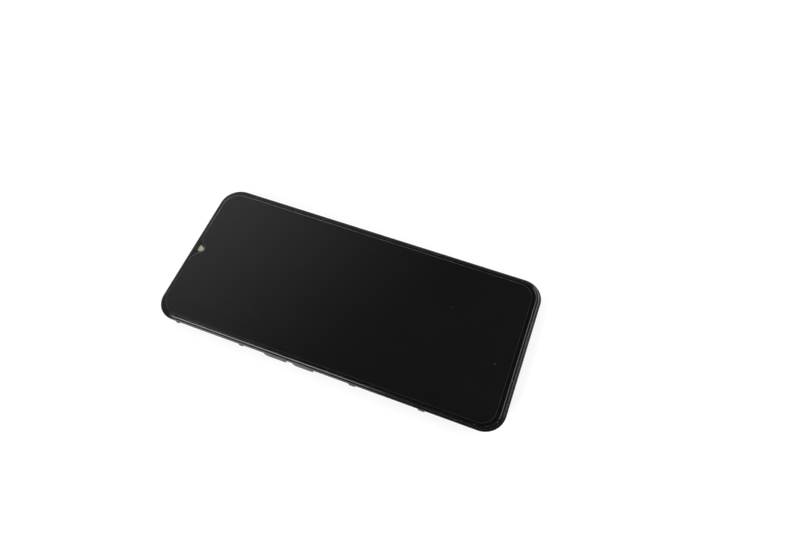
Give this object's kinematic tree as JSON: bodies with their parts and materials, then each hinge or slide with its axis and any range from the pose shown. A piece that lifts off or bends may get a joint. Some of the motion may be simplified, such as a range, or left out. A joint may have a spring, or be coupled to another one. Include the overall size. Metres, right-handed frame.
{
  "type": "phone lcd screen assembly",
  "caption": "Phone display assembly: cover glass with a drop notch, LCD panel and backlight, glued into a moulded rim with a metal mid plate, snap hooks and screw bosses.",
  "frame": {"origin": "under the middle of the body, level with the tips of the walls on the back, on which it lies", "axes": "+X to the right seen from the glass side, +Y to the camera end, +Z out of the cover glass"},
  "size_m": [0.0754, 0.1656, 0.0066],
  "materials": {
    "cover_glass": "polished",
    "border_ink": "screen-printed black ink",
    "clear_adhesive": "clear acrylic adhesive",
    "polariser": "satin film",
    "panel_glass": "polished",
    "optical_film": "pearly film",
    "light_guide": "clear acrylic",
    "white_plastic": "white moulded",
    "lamp_body": "white housing, yellow phosphor",
    "tray_steel": "thin rolled steel",
    "black_tape": "black adhesive tape and foam",
    "polyimide": "amber polyimide film over copper",
    "silicon": "bare silicon, polished back",
    "capacitor": "sintered, tinned ends",
    "connector_plastic": "black moulded",
    "contact_metal": "gold-plated",
    "plate_metal": "pressed, matt",
    "rim_plastic": "moulded, satin paint on the rail",
    "insert_brass": "turned, knurled",
    "mesh_metal": "black woven mesh",
    "graphite": "graphite film, satin",
    "conductive_fabric": "metal-coated fabric over foam"
  },
  "bodies": {
    "root": {"cover_glass": "cover_glass", "border_print": "border_ink", "optical_adhesive": "clear_adhesive", "upper_polariser": "polariser", "lower_polariser": "polariser", "colour_filter_glass": "panel_glass", "tft_glass": "panel_glass", "upper_prism_film": "optical_film", "lower_prism_film": "optical_film", "diffuser_film": "optical_film", "light_guide_plate": "light_guide", "backlight_frame": "white_plastic", "reflector_film": "white_plastic", "backlight_leds": "lamp_body", "backlight_tray": "tray_steel", "connector_stiffener": "tray_steel", "glass_seat_tape": "black_tape", "backlight_rim_tape": "black_tape", "tray_foam_tape": "black_tape", "flex_foam_tape": "black_tape", "camera_gasket": "black_tape", "display_flex": "polyimide", "backlight_led_flex": "polyimide", "display_driver_chip": "silicon", "flex_capacitors": "capacitor", "flex_connector": "connector_plastic", "connector_contacts": "contact_metal", "mid_plate": "plate_metal", "rim_frame": "rim_plastic", "threaded_inserts": "insert_brass", "earpiece_mesh": "mesh_metal", "heat_film": "graphite", "ground_pads": "conductive_fabric"}
  },
  "joints": []
}
